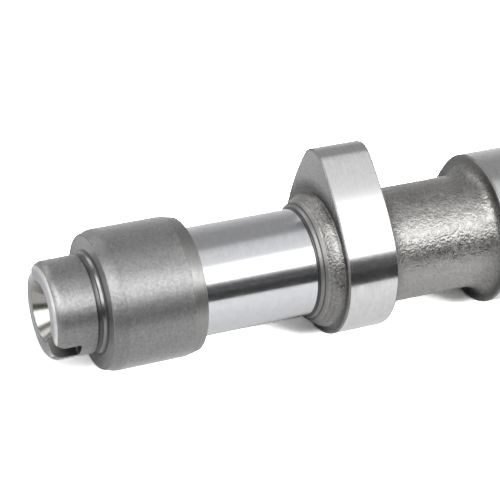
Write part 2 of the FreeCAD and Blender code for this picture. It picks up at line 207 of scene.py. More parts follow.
# %% [markdown]
# ## Relief beside a journal
# Where a journal ends, the lathe leaves a narrow groove for the grinding wheel to run out, then
# two small rings, and behind them the raw boss that the lobe was cast with. The relief is the
# same on both sides of every journal, only mirrored, so one function lays its rows forwards or
# backwards.

# %% Section of a relief
RELIEF, BOSS_LENGTH = 5.9, 2.8
BOSS_OUT, BOSS_IN = 17.7, 16.6
SKIN = 0.13  # how far the roughest skin goes in and out
# Where each part of the boss is, as a share of its length, and how much painted shade darkens it
# there.
BOSS_SHARES = ((0.14, 0.9), (0.3, 0.75), (0.46, 0.75), (0.62, 0.9), (0.8, 1.1), (1.0, 1.3))


def relief(lobe_x, towards):
    """Groove, two rings and cast boss. towards is 1 when the lobe comes next, or -1."""
    start = lobe_x - towards * RELIEF
    # place, radius, finish, edge, share of the cast skin, share of painted shade
    # The groove strips here are dark as painted shade.
    steps = [(0.0, JOURNAL, "ground", 0.08, 0, 0), (0.1, JOURNAL - 0.35, "groove", 0, 0, 0),
             (0.6, JOURNAL - 0.35, "groove", 0, 0, 0), (0.6, JOURNAL + 0.45, "groove", 0.12, 0, 0),
             (1.4, JOURNAL + 0.85, "turned", 0.12, 0, 0), (1.5, 15.35, "groove", 0.1, 0, 0),
             (2.2, 15.8, "turned", 0, 0.3, 0.2), (2.6, 16.1, "cast", 0, 0.7, 0.9),
             (3.0, 16.4, "cast", 0, 0.9, 0.6)]
    for share, hollow in BOSS_SHARES:
        rise = (BOSS_OUT - BOSS_IN) * math.sin(share * math.pi / 2)
        steps.append((RELIEF - BOSS_LENGTH * (1 - share), BOSS_IN + rise, "cast", 0, 1.0, hollow))
    if towards < 0:  # laid backwards, a strip's finish belongs to the row at its other end
        finishes = [step[2] for step in steps]
        steps = [(*step[:2], after, *step[3:]) for step, after
                 in zip(reversed(steps), ["side"] + finishes[:0:-1])]
    for far, radius, finish, edge, skin, hollow in steps:
        row(start + towards * far, radius, finish, edge=edge,
            skin=skin * SKIN, lean=skin, hollow=hollow)


# %% [markdown]
# ## A lobe and a web
# A lobe's side faces are milled flat and its running surface is ground, with a small round between
# them. In the section it is only six rows, all with a cam share of one: the tree turns that share
# into the outline. The web between two lobes is as cast: a plain round with a wide concave flare
# where it runs into a lobe, painted darker there as painted shade, and it needs many rows, because
# its skin is truly uneven.

# %% Section of a lobe and of a web
LOBE_EDGE = 0.45
LOBE_WIDTH = 14.0
WEB_RADIUS, FLARE_RADIUS, FLARE_LENGTH = 15.0, 17.6, 5.6
WEB_STEP = 0.55


def lobe(x, phase):
    """Six rows: side face, round, running surface, round, side face."""
    soft = LOBE_EDGE * (1 - math.sqrt(0.5))
    rows = [(0, LOBE_EDGE, "side"), (soft, soft, "edge"), (LOBE_EDGE, 0, "edge"),
            (LOBE_WIDTH - LOBE_EDGE, 0, "lobe"), (LOBE_WIDTH - soft, soft, "edge"),
            (LOBE_WIDTH, LOBE_EDGE, "edge")]
    for far, inset, finish in rows:
        row(x + far, BASE_RADIUS, finish, cam=1, inset=inset, phase=phase)


def web(start, end):
    """Cast shaft with a concave flare at both ends, painted darker there as painted shade."""
    count = round((end - start) / WEB_STEP)
    for number in range(count + 1):
        x = start + (end - start) * number / count
        near = max(0.0, 1 - min(x - start, end - x) / FLARE_LENGTH)
        rise = (FLARE_RADIUS - WEB_RADIUS) * (1 - math.sqrt(max(0.0, 1 - near * near)))
        row(x, WEB_RADIUS + rise, "cast" if number else "side", skin=SKIN, lean=near, hollow=near)


# %% [markdown]
# ## The whole section
# Three cylinders, each with two lobes, repeat along the shaft. The noses follow each other by a
# third of a turn from cylinder to cylinder. The front end is a plain seat for the timing wheel
# with a centre hole for its bolt. The hole's thread is made of rings, because nobody can see
# down there that a real thread climbs.

# %% Lay the section from end to end
FIRST_NOSE, LOBE_SEPARATION = 84.2, 108.4
CYLINDERS = len(journals) - 1
SEAT = radius_of("timing_seat")
tap, tap_ends = radius_of("centre_thread"), ends_of("centre_thread")
THREAD_START, THREAD_PITCH, THREAD_DEPTH = 0.3, 1.75, 0.75
SEAT_CHAMFER, HOLE_CHAMFER, HOLE_POINT = 1.2, 1.6, 3.0

for cylinder in range(CYLINDERS):
    firing = 360 / CYLINDERS * cylinder
    first = journals[cylinder][1] + RELIEF
    second = journals[cylinder + 1][0] - RELIEF - LOBE_WIDTH
    relief(first, 1)
    lobe(first, math.radians(FIRST_NOSE - firing))
    web(first + LOBE_WIDTH, second)
    lobe(second, math.radians(FIRST_NOSE - LOBE_SEPARATION - firing))
    relief(second + LOBE_WIDTH, -1)

row(journals[-1][1], JOURNAL, "ground", edge=0.3)
row(journals[-1][1], SEAT, "faced", edge=0.05)
row(front_end_x - SEAT_CHAMFER, SEAT, "satin", edge=0.15)
row(front_end_x, SEAT - SEAT_CHAMFER, "faced", edge=0.15)
row(front_end_x, tap + HOLE_CHAMFER, "faced", edge=0.12)
row(tap_ends[1], tap, "faced", edge=0.1)
turns = math.floor((tap_ends[1] - tap_ends[0]) / THREAD_PITCH)
for number in range(turns):
    crest = tap_ends[1] - THREAD_START - number * THREAD_PITCH
    row(crest - THREAD_PITCH / 2, tap + THREAD_DEPTH, "threaded")
    row(crest - THREAD_PITCH, tap, "threaded")
row(tap_ends[0], tap, "threaded")
row(tap_ends[0] - HOLE_POINT, 0, "bored")

section = broken_corners(section)
print(len(section), "rows from the drive bore to the centre hole")

# %% [markdown]
# ## The section as a mesh
# The tree reads the section from the object's own mesh: one vertex for each row, with the row's
# numbers as attributes on the vertices. This keeps the rule in the tree and the sizes in the
# mesh. Anyone can open the spreadsheet editor and look at them.

# %% Make the section mesh
def put_in_scene(name, data):
    """A new object that shows this mesh, lamp or camera."""
    made = bpy.data.objects.new(name, data)
    bpy.context.scene.collection.objects.link(made)
    return made


section_mesh = bpy.data.meshes.new("camshaft_section")
section_mesh.from_pydata([(here["x"], 0, 0) for here in section],
                         [(number, number + 1) for number in range(len(section) - 1)], [])
for name in ROW_NUMBERS:
    layer = section_mesh.attributes.new(name, "FLOAT", "POINT")
    layer.data.foreach_set("value", [float(here[name]) for here in section])
layer = section_mesh.attributes.new("finish", "FLOAT", "POINT")
layer.data.foreach_set("value", [float(FINISHES.index(here["finish"])) for here in section])
shaft = put_in_scene("camshaft_dressed", section_mesh)
print("section mesh with", len(section_mesh.attributes), "attributes")

# %% [markdown]
# ## Sums inside a node tree
# A rule with roots and cosines needs many Math nodes, and wiring each by hand hides the rule.
# A small class helps: it stands for a socket, and plus, minus, times and divide on it add the
# Math node that does the sum. The lines of the rule then read like the formula itself.

# %% A number in a tree
def feed(tree, value, socket):
    """Wire a field into a socket, or set the socket to a plain value."""
    if isinstance(value, Field):
        tree.links.new(value.socket, socket)
    else:
        socket.default_value = value


class Field:
    """A number that changes over a surface: the output socket of some node."""

    def __init__(self, tree, socket):
        self.tree, self.socket = tree, socket

    def math(self, operation, *others):
        made = self.tree.nodes.new("ShaderNodeMath")
        made.operation = operation
        for place, value in enumerate((self, *others)):
            feed(self.tree, value, made.inputs[place])
        return Field(self.tree, made.outputs[0])

    def __add__(self, other):
        return self.math("ADD", other)

    def __sub__(self, other):
        return self.math("SUBTRACT", other)

    def __mul__(self, other):
        return self.math("MULTIPLY", other)

    def __truediv__(self, other):
        return self.math("DIVIDE", other)

    def less(self, other):
        return self.math("LESS_THAN", other)

    def towards(self, other, share):
        """This value where share is 0, the other where it is 1."""
        return self + (other - self) * share

    def slope(self, start, end, low=0.0, high=1.0):
        """low before start, high after end, and a straight slope between them."""
        return add(self.tree, "ShaderNodeMapRange", {
            "Value": self, "From Min": start, "From Max": end, "To Min": low, "To Max": high})


print("sums by sign, and by name:", [name for name in vars(Field) if not name.startswith("_")])

# %% [markdown]
# ## Nodes and groups by name
# Wiring by name keeps a tree readable: a node is added with its inputs as a dictionary, and a
# group is made with its sockets named. In Blender 4.5 a group's sockets are made on its
# interface, and they then show up in the modifier's panel or on the group node.

# %% Add nodes, open and close a tree
def add(tree, kind, inputs=None, output=0, **settings):
    """Add a node, set it up, wire its inputs and give one of its outputs as a field."""
    made = tree.nodes.new(kind)
    for name, value in settings.items():
        setattr(made, name, value)
    for name, value in (inputs or {}).items():
        feed(tree, value, made.inputs[name])
    return Field(tree, made.outputs[output])


def xyz(tree, vector):
    """The three numbers of a vector."""
    parts = tree.nodes.new("ShaderNodeSeparateXYZ")
    feed(tree, vector, parts.inputs[0])
    return [Field(tree, parts.outputs[axis]) for axis in "XYZ"]


def new_tree(name, kind, inputs, outputs):
    """A node group with named sockets, and its inputs as fields."""
    tree = bpy.data.node_groups.new(name, kind)
    for way, sockets in (("INPUT", inputs), ("OUTPUT", outputs)):
        for label, (socket_kind, value) in sockets.items():
            socket = tree.interface.new_socket(
                name=label, in_out=way, socket_type="NodeSocket" + socket_kind)
            if value is not None:
                socket.default_value = value
    entry = tree.nodes.new("NodeGroupInput")
    return tree, {label: Field(tree, entry.outputs[label]) for label in inputs}


def finish_tree(tree, outputs):
    """Wire the group's outputs."""
    leaving = tree.nodes.new("NodeGroupOutput")
    for label, value in outputs.items():
        feed(tree, value, leaving.inputs[label])
    print(tree.name, "has", len(tree.nodes), "nodes")


print("ready to build trees; materials to come:", len(FINISHES + CUT_FINISHES))

# %% [markdown]
# ## The tree that sweeps the section
# A Mesh Grid is the shaft rolled out flat: its X counts the rows of the section and its Y is the
# angle round the axis. The tree asks the section for the row's numbers with Sample Index, works
# out the radius for that row and angle, and moves each point of the grid to its place. The two
# long sides of the grid meet at the back of the shaft, where Merge by Distance closes the seam,
# and the same node closes the poles at the bottoms of both holes.
# The skin of a casting is made here as well, not only in the material: a noise that reads the
# point's own place pushes the cast rows in and out by a tenth of a millimetre.

# %% Build the sweep tree
COLUMNS = 240  # points round the shaft
CORE_SHIFT = 0.55
sweep, given = new_tree("camshaft_sweep", "GeometryNodeTree", {
    "Section": ("Geometry", None), "Columns": ("Int", COLUMNS),
    "Base radius": ("Float", BASE_RADIUS),
    "Nose centre": ("Float", nose_centre), "Nose radius": ("Float", NOSE_RADIUS),
    "Flank radius": ("Float", FLANK_RADIUS), "Flank along": ("Float", flank_along),
    "Flank aside": ("Float", flank_aside), "Nose until": ("Float", nose_until),
    "Flank until": ("Float", flank_until), "Core shift": ("Float", CORE_SHIFT)},
    {"Shaft": ("Geometry", None)})

rows_in_all = add(sweep, "GeometryNodeAttributeDomainSize", {"Geometry": given["Section"]})
grid = add(sweep, "GeometryNodeMeshGrid", {
    "Size X": rows_in_all - 1, "Size Y": 2 * math.pi, "Vertices X": rows_in_all,
    "Vertices Y": given["Columns"] + 1})
flat_x, flat_y, _ = xyz(sweep, add(sweep, "GeometryNodeInputPosition"))
row_number = flat_x + (rows_in_all - 1) / 2
angle = flat_y + math.pi


def of_row(name, number):
    """One of the section's numbers, read at a row."""
    value = add(sweep, "GeometryNodeInputNamedAttribute", {"Name": name})
    return add(sweep, "GeometryNodeSampleIndex",
               {"Geometry": given["Section"], "Value": value, "Index": number})


at_row = row_number.math("ROUND")
place = xyz(sweep, add(sweep, "GeometryNodeSampleIndex", {
    "Geometry": given["Section"], "Value": add(sweep, "GeometryNodeInputPosition"),
    "Index": at_row}, data_type="FLOAT_VECTOR"))[0]
print("rolled-out grid and its row numbers are wired")

# %% [markdown]
# ## The outline of a lobe, in the tree
# From the angle to the lobe's nose, each of the three arcs gives its own radius: the distance
# along a ray from the axis to that circle. The two hand-over angles choose between them.

# %% Add the lobe's outline
turn = (angle - of_row("phase", at_row)).math("WRAP", math.pi, -math.pi).math("ABSOLUTE")
along, aside = turn.math("COSINE"), turn.math("SINE")
to_nose = given["Nose centre"] * along
nose_arc = to_nose + (given["Nose radius"] * given["Nose radius"]
                      - (given["Nose centre"] * aside).math("POWER", 2.0)).math("SQRT")
to_flank = given["Flank along"] * along + given["Flank aside"] * aside
flank_arc = to_flank + (given["Flank radius"] * given["Flank radius"] + to_flank * to_flank
                        - given["Flank along"] * given["Flank along"]
                        - given["Flank aside"] * given["Flank aside"]).math("SQRT")
outline = given["Base radius"].towards(flank_arc, turn.less(given["Flank until"]))
outline = outline.towards(nose_arc, turn.less(given["Nose until"])) - of_row("inset", at_row)
print("lobe outline is wired")

# %% [markdown]
# ## Cast skin and the sweep itself
# The mould's core never sits quite in the middle, so the cast bosses and flares are a little
# thicker on one side. What was turned runs true, so the rows there have no lean. The skin's noise
# has two sizes: broad dents of the mould and fine grains of sand.

# %% Add the skin and close the tree
round_radius = of_row("radius", at_row).towards(outline, of_row("cam", at_row))
spot = add(sweep, "ShaderNodeCombineXYZ", {
    "X": place, "Y": round_radius * angle.math("COSINE"), "Z": round_radius * angle.math("SINE")})
dents = add(sweep, "ShaderNodeTexNoise", {"Vector": spot, "Scale": 0.35, "Detail": 1.0}) - 0.5
sand = add(sweep, "ShaderNodeTexNoise", {
    "Vector": spot, "Scale": 1.05, "Detail": 3.0, "Roughness": 0.6}) - 0.5
skin = (dents * 2.0 + sand * 1.6) * of_row("skin", at_row)
shift = (angle - math.pi).math("COSINE") * of_row("lean", at_row) * given["Core shift"]
radius = (round_radius + skin + shift) * MM
swept = add(sweep, "ShaderNodeCombineXYZ", {
    "X": place * MM, "Y": radius * angle.math("COSINE"), "Z": radius * angle.math("SINE")})

finish_of_strip = add(sweep, "GeometryNodeStoreNamedAttribute", {
    "Geometry": grid, "Name": "strip_finish", "Value": of_row("finish", row_number.math("CEIL"))},
    data_type="FLOAT", domain="FACE")
# Painted shade: each point keeps a share of darkening for the cast material.
hollow = add(sweep, "GeometryNodeStoreNamedAttribute", {
    "Geometry": finish_of_strip, "Name": "hollow", "Value": of_row("hollow", at_row)},
    data_type="FLOAT", domain="POINT")
moved = add(sweep, "GeometryNodeSetPosition", {"Geometry": hollow, "Position": swept})
closed = add(sweep, "GeometryNodeMergeByDistance", {"Geometry": moved, "Distance": 1e-6})
outwards = add(sweep, "GeometryNodeFlipFaces", {"Mesh": closed})
smooth = add(sweep, "GeometryNodeSetShadeSmooth", {"Geometry": outwards})
result = add(sweep, "GeometryNodeRealizeInstances", {"Geometry": smooth})
finish_read = add(sweep, "GeometryNodeInputNamedAttribute", {"Name": "strip_finish"})
materials = {name: bpy.data.materials.new("camshaft_" + name)
             for name in FINISHES + CUT_FINISHES}
for number, name in enumerate(FINISHES):
    here = finish_read.math("COMPARE", float(number), 0.25)
    result = add(sweep, "GeometryNodeSetMaterial", {
        "Geometry": result, "Selection": here, "Material": materials[name]})
finish_tree(sweep, {"Shaft": result})

# %% [markdown]
# ## Slot and keyway
# Both are milled with a cutter, so a Boolean with the cutter's own path is the honest way to make
# them. Each cutter carries the material that its cut should show.

# %% A milling cutter
def cutter(name, outline, depth, place_of, material):
    """A prism: the outline pushed down by depth and put in place by a matrix, all in mm."""
    mesh = bpy.data.meshes.new(name)
    form = bmesh.new()
    face = form.faces.new([form.verts.new((x, y, 0)) for x, y in outline])
    pushed = bmesh.ops.extrude_face_region(form, geom=[face])["geom"]
    lower = [part for part in pushed if isinstance(part, bmesh.types.BMVert)]
    bmesh.ops.translate(form, vec=(0, 0, -depth), verts=lower)
    bmesh.ops.transform(form, matrix=Matrix.Scale(MM, 4) @ place_of, verts=form.verts)
    bmesh.ops.recalc_face_normals(form, faces=form.faces)
    form.to_mesh(mesh)
    form.free()
    mesh.materials.append(material)
    return put_in_scene(name, mesh)


def arc(x, y, radius, start, end, steps=8):
    """Points of an arc, angles in degrees."""
    angles = [math.radians(start + (end - start) * step / steps) for step in range(steps + 1)]
    return [(x + radius * math.cos(turned), y + radius * math.sin(turned)) for turned in angles]


print("a rounded corner of a cutter has", len(arc(0, 0, 1, 0, 90)), "points")

# %% [markdown]
# ## Paths of the two cutters
# The slot runs right across the nose, at a slant to the first lobe and a little off the middle,
# with rounded corners at its floor. The keyway starts with the round of an end mill and runs out
# at the shaft's end. Each path is drawn flat, made a prism and turned into place by a matrix.

# %% Paths of the slot and the keyway
SLOT_WIDTH, SLOT_DEPTH, SLOT_ROUND = 4.7, 6.6, 0.7
SLOT_ANGLE, SLOT_OFFSET, SLOT_THROUGH = math.radians(36.5), 0.37, 40
KEY_WIDTH, KEY_DEPTH, KEY_LENGTH = 5.0, 2.8, 14.0
CLEAR = 2  # how far a cutter reaches past the metal

low, high = SLOT_OFFSET - SLOT_WIDTH / 2, SLOT_OFFSET + SLOT_WIDTH / 2
inner = nose_end_x + SLOT_DEPTH - SLOT_ROUND
slot_outline = [(nose_end_x - CLEAR, high), (nose_end_x - CLEAR, low)]
slot_outline += arc(inner, low + SLOT_ROUND, SLOT_ROUND, -90, 0)
slot_outline += arc(inner, high - SLOT_ROUND, SLOT_ROUND, 0, 90)
across = Vector((0, math.cos(SLOT_ANGLE), math.sin(SLOT_ANGLE)))
up = Vector((0, -across.z, across.y))
slot_turn = Matrix((Vector((1, 0, 0)), up, across)).transposed().to_4x4()
slot_place = slot_turn @ Matrix.Translation((0, 0, SLOT_THROUGH / 2))
key_start = front_end_x - KEY_LENGTH + KEY_WIDTH / 2
key_outline = arc(key_start, 0, KEY_WIDTH / 2, 90, 270, 20)
key_outline += [(front_end_x + CLEAR, -KEY_WIDTH / 2), (front_end_x + CLEAR, KEY_WIDTH / 2)]
key_place = Matrix.Translation((0, 0, SEAT + CLEAR))
tools = [cutter("slot_cutter", slot_outline, SLOT_THROUGH, slot_place, materials["slot"]),
         cutter("keyway_cutter", key_outline, KEY_DEPTH + CLEAR, key_place, materials["keyway"])]
print("cutters:", [tool.name for tool in tools])

# %% [markdown]
# ## The stack of modifiers
# The order is the order of work: first the sweep makes the shaft, then the two Booleans cut it.
# Weighted Normal comes last. It lets the wide faces decide the shading, so that the narrow
# strips at the edges look round and the flats look flat. The tree's inputs are set by their
# identifiers, which stay the same when a label is changed.

# %% Sweep and cut
modifier = shaft.modifiers.new("sweep", "NODES")
modifier.node_group = sweep
sockets = {item.name: item.identifier for item in sweep.interface.items_tree
           if item.in_out == "INPUT"}
modifier[sockets["Columns"]] = COLUMNS
modifier[sockets["Core shift"]] = CORE_SHIFT
for tool in tools:
    cut = shaft.modifiers.new(tool.name, "BOOLEAN")
    cut.object, cut.operation = tool, "DIFFERENCE"
    cut.solver, cut.material_mode = "MANIFOLD", "TRANSFER"
shading = shaft.modifiers.new("flats stay flat", "WEIGHTED_NORMAL")
shading.weight, shading.keep_sharp = 80, True
print("modifiers:", [modifier.name for modifier in shaft.modifiers])

# %% [markdown]
# ## From tree to plain mesh
# The export wants plain meshes, so the evaluated shaft becomes one, and the modifiers go. Then
# comes a look at the result, as a machinist looks for burrs: the number of edges that don't have
# two faces, and the volume, whose sign tells whether the faces point outwards.

# %% Make it a plain mesh
evaluated = shaft.evaluated_get(bpy.context.evaluated_depsgraph_get())
finished = bpy.data.meshes.new_from_object(evaluated)
shaft.modifiers.clear()
shaft.data = finished
finished.name = "camshaft_dressed"
for tool in tools:
    bpy.data.objects.remove(tool)

check = bmesh.new()
check.from_mesh(finished)
volume = check.calc_volume(signed=True)
open_edges = sum(len(edge.link_faces) != 2 for edge in check.edges)
check.free()
if finished.materials[0] is None:
    finished.materials.pop(index=0)
triangles = sum(len(face.vertices) - 2 for face in finished.polygons)
print("volume in cm3:", round(volume * 1e6, 2), "open edges:", open_edges, "triangles:", triangles,
      "materials:", [material.name if material else None for material in finished.materials])

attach(shaft, "root")
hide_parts("camshaft")

# %% [markdown]
# ## Effects that several finishes share
# Machined iron shows what touched it last. Grinding and turning leave fine lines round the axis,
# facing leaves rings, and everywhere there is a faint mottle of the metal's grain. Each effect is
# one node group that gives back a mask or a height, and every material takes it with its own
# values.

# %% Group: lines that run round the shaft
def on_part(tree):
    """The point's own place on the part, in metres."""
    return add(tree, "ShaderNodeTexCoord", output="Object")


def in_mm(tree):
    """The same place, in millimetres."""
    return add(tree, "ShaderNodeVectorMath", {0: on_part(tree), "Scale": 1 / MM}, operation="SCALE")


lines, given = new_tree("lines round the shaft", "ShaderNodeTree", {
    "Fineness": ("Float", 6.0), "Stretch": ("Float", 40.0), "Seed": ("Float", 0.0)},
    {"Mask": ("Float", None)})
along_x, side_y, side_z = xyz(lines, in_mm(lines))
squeezed = add(lines, "ShaderNodeCombineXYZ", {
    "X": along_x * given["Fineness"], "Y": side_y * given["Fineness"] / given["Stretch"],
    "Z": side_z * given["Fineness"] / given["Stretch"]})
mask = add(lines, "ShaderNodeTexNoise", {
    "Vector": squeezed, "W": given["Seed"], "Scale": 1.0, "Detail": 3.0, "Roughness": 0.65},
    noise_dimensions="4D")
finish_tree(lines, {"Mask": mask})

# %% [markdown]
# ## Rings on a face
# Where the lathe's tool crossed an end face, its lines are rings round the axis. It is the same
# stretched noise as before, but it reads the distance from the axis instead of the place along
# the shaft. A Wave texture in rings mode would be too regular: a tool that has done some work
# leaves rings of uneven depth.

# %% Group: rings on a turned face
def off_axis(side_y, side_z):
    """The distance from the shaft's axis."""
    return (side_y * side_y + side_z * side_z).math("SQRT")


rings, given = new_tree("rings on a face", "ShaderNodeTree", {
    "Fineness": ("Float", 7.0), "Stretch": ("Float", 48.0)}, {"Mask": ("Float", None)})
_, side_y, side_z = xyz(rings, in_mm(rings))
spot = add(rings, "ShaderNodeCombineXYZ", {
    "X": off_axis(side_y, side_z) * given["Fineness"],
    "Y": side_y * given["Fineness"] / given["Stretch"],
    "Z": side_z * given["Fineness"] / given["Stretch"]})
mask = add(rings, "ShaderNodeTexNoise", {
    "Vector": spot, "Scale": 1.0, "Detail": 3.0, "Roughness": 0.6})
finish_tree(rings, {"Mask": mask})

# %% [markdown]
# ## Mottle
# Handling, oil and the grain of the iron give every surface soft patches. One cloudy noise does
# for all of them. Its inputs are the size of a patch in millimetres, how sharp its borders are,
# and a seed, so that two finishes never show the same cloud.

# %% Group: mottle of the metal's grain
def in_patches(tree, size):
    """The place on the part, counted in patches of the given size in millimetres."""
    return add(tree, "ShaderNodeVectorMath", {
        0: in_mm(tree), "Scale": size.math("POWER", -1.0)}, operation="SCALE")


mottle, given = new_tree("mottle", "ShaderNodeTree", {
    "Size": ("Float", 1.0), "Sharpness": ("Float", 1.0), "Seed": ("Float", 0.0)},
    {"Mask": ("Float", None)})
cloud = add(mottle, "ShaderNodeTexNoise", {
    "Vector": in_patches(mottle, given["Size"]), "W": given["Seed"], "Scale": 1.0,
    "Detail": 4.0, "Roughness": 0.62}, noise_dimensions="4D")
sharper = (cloud - 0.5) * given["Sharpness"] + 0.5
finish_tree(mottle, {"Mask": sharper.math("MAXIMUM", 0.0).math("MINIMUM", 1.0)})

# %% [markdown]
# ## Pebbled skin of a casting
# Molten iron fills the gaps between the grains of sand, so a cast skin is a field of small round
# humps with sharp valleys between them. A Voronoi texture has just this shape: the distance to
# the nearest of many scattered points.

# %% Group: pebbles
pebbles, given = new_tree("pebbles", "ShaderNodeTree", {"Size": ("Float", 1.0)},
                          {"Mask": ("Float", None)})
valley = add(pebbles, "ShaderNodeTexVoronoi", {
    "Vector": in_patches(pebbles, given["Size"]), "Scale": 1.0}, feature="F1")
finish_tree(pebbles, {"Mask": valley * -1.0 + 1.0})

# %% [markdown]
# ## How a finish is put together
# All finishes are the same metal, so one class starts each material: a metallic surface whose
# colour, roughness and small bumps are driven by masks. The numbers then make the difference
# between a mirror and a sandy skin.

# %% Helper for a metal finish
NOISE_LOW, NOISE_HIGH = 0.3, 0.7  # a noise is hardly ever outside these


def darker(tint, share):
    """The tint with less light in it."""
    return tuple(value * share for value in tint)


class Finish:
    """A metal material that is being put together."""

    def __init__(self, name):
        self.material = materials[name]
        self.material.use_nodes = True
        self.tree = self.material.node_tree
        self.shader = self.tree.nodes["Principled BSDF"]
        self.shader.inputs["Metallic"].default_value = 1.0

    def mask(self, group, **values):
        made = self.tree.nodes.new("ShaderNodeGroup")
        made.node_tree = group
        for label, value in values.items():
            made.inputs[label].default_value = value
        return Field(self.tree, made.outputs["Mask"])

    def between(self, mask, low, high):
        """low where the mask is dark, high where it is bright."""
        return mask.slope(NOISE_LOW, NOISE_HIGH, low, high)

    def colour(self, mask, dark, bright):
        """A Mix node's colours are its inputs 6 and 7 and its output 2."""
        mixed = add(self.tree, "ShaderNodeMix", {
            0: mask, 6: (*dark, 1), 7: (*bright, 1)}, output=2, data_type="RGBA")
        feed(self.tree, mixed, self.shader.inputs["Base Color"])

    def rough(self, field):
        feed(self.tree, field, self.shader.inputs["Roughness"])

    def bump(self, height, depth_mm):
        made = self.tree.nodes.new("ShaderNodeBump")
        made.inputs["Strength"].default_value = 1.0
        made.inputs["Distance"].default_value = depth_mm * MM
        feed(self.tree, height, made.inputs["Height"])
        self.tree.links.new(made.outputs["Normal"], self.shader.inputs["Normal"])

    def brushed(self, amount, radial=False):
        """Stretch the highlights across the tool's lines, on a face (radial) or on a round."""
        self.shader.inputs["Anisotropic"].default_value = amount
        if radial:
            _, side_y, side_z = xyz(self.tree, on_part(self.tree))
            tangent = {"Y": side_y, "Z": side_z}
        else:
            tangent = {"X": 1.0}
        tangent = add(self.tree, "ShaderNodeCombineXYZ", tangent)
        feed(self.tree, tangent, self.shader.inputs["Tangent"])


print(len(materials), "materials wait for their finish")

# %% [markdown]
# ## Ground surfaces
# Journals and lobes run against bearings and followers, so they are ground last. They are nearly
# mirrors, and what one sees on them is the room, drawn out a little across the grinding lines.
# Anisotropy does this drawing out, with the shaft's own direction as its tangent. The lines
# change the roughness more than the colour, because a scratch scatters light and doesn't dye.

# %% Ground journals and lobes
def ground_finish(name, tint, base_rough, streak, dark=0.8):
    made = Finish(name)
    streaks = made.mask(lines, Fineness=streak, Stretch=60.0, Seed=1.0)
    cloud = made.mask(mottle, Size=1.6, Sharpness=1.0, Seed=2.0)
    both = streaks.towards(cloud, 0.4)
    made.colour(made.between(both, 0.0, 1.0), darker(tint, dark), tint)
    made.rough(made.between(both, base_rough * 2.1, base_rough * 0.6))
    made.bump(streaks, 0.004)
    made.brushed(0.55)
    print(name, "has a roughness near", base_rough)


ground_finish("ground", (0.60, 0.605, 0.625), 0.13, 9.0)
ground_finish("lobe", (0.60, 0.60, 0.605), 0.14, 5.0, dark=0.72)
# Painted shade: the rounded edges are a darker copy of the ground finish, so that they show no
# bright line.
ground_finish("edge", (0.25, 0.25, 0.25), 0.40, 9.0)

# %% [markdown]
# ## Satin surfaces
# The nose and the collar were finished with a coarser wheel, and in the photograph they are an
# even, pearly grey with wide, soft highlights. Two roughnesses side by side give this look: tiny
# pores that are dull, and smoother metal between them. Mixing them by a sharp, small mottle costs
# nothing and keeps the highlight soft without making it flat.

# %% Satin nose and collar
def satin_finish(name, tint, low, high, grain):
    made = Finish(name)
    cloud = made.mask(mottle, Size=grain, Sharpness=1.4, Seed=5.0)
    streaks = made.mask(lines, Fineness=5.0, Stretch=30.0, Seed=6.0)
    both = cloud.towards(streaks, 0.35)
    pores = made.mask(mottle, Size=0.1, Sharpness=9.0, Seed=7.0)
    made.colour(made.between(both, 0.0, 1.0), darker(tint, 0.62), tint)
    made.rough(made.between(pores - 0.12, low, high))
    made.bump(both, 0.075)
    made.brushed(0.3)
    made.shader.inputs["Sheen Weight"].default_value = 0.12
    made.shader.inputs["Sheen Roughness"].default_value = 0.4
    print(name, "is between", low, "and", high, "rough")


satin_finish("satin", (0.29, 0.29, 0.29), 0.32, 0.72, 0.7)
satin_finish("bevel", (0.27, 0.27, 0.27), 0.36, 0.76, 0.7)

# %% [markdown]
# ## Turned surfaces
# End faces, chamfers, grooves and the cone of the lathe centre are as the lathe left them. They
# share one recipe and differ in how dark they are, and part of that is painted light and shade: the
# end faces are painted lighter for the bright paper that they mirror, the thrust face is painted
# darker, and the grooves, the crevices and the far slope of the ring by the collar are darkest, as
# painted shade. On a face the tangent points away from the axis, so that the highlight spreads like
# the spokes of a wheel.

# %% Turned faces and rings
def faced_finish(name, tint, rough, radial, fineness):
    made = Finish(name)
    ring = made.mask(rings, Fineness=fineness)
    cloud = made.mask(mottle, Size=0.5, Sharpness=1.2, Seed=9.0)
    both = ring.towards(cloud, 0.4)
    if tint:
        made.colour(made.between(both, 0.0, 1.0), darker(tint, 0.78), tint)
    made.rough(made.between(both, rough * 1.25, rough * 0.85))
    made.bump(both, 0.006)
    made.brushed(0.6, radial)
    print(name, "has", len(made.tree.nodes), "nodes")
    return made


# Painted light: the end faces are a lighter copy of the turned face, for the bright paper that they
# mirror.
faced_finish("faced", (0.66, 0.66, 0.67), 0.36, True, 9.0)
# Painted shade: the thrust face is a darker copy of the same turned face.
faced_finish("thrust", (0.43, 0.43, 0.44), 0.34, True, 9.0)
faced_finish("turned", (0.24, 0.24, 0.235), 0.42, False, 7.0)
faced_finish("ring", (0.22, 0.22, 0.22), 0.24, False, 7.0)
faced_finish("bored", (0.33, 0.325, 0.30), 0.24, False, 5.0)
faced_finish("threaded", (0.42, 0.42, 0.42), 0.35, False, 5.0)
# Painted shade: the darkest copy, laid in grooves, crevices and on the ring's far slope.
faced_finish("groove", (0.12, 0.12, 0.12), 0.40, False, 5.0)
faced_finish("chamfer", (0.28, 0.28, 0.275), 0.40, False, 8.0)

# %% [markdown]
# ## Walls of the slot
# The slot is milled through the nose. Its walls are painted darker from top to bottom and from the
# mouth to the slot's floor, as painted shade in the recess. The height on the part less a share of
# the depth, sent through a Map Range, is all it takes.

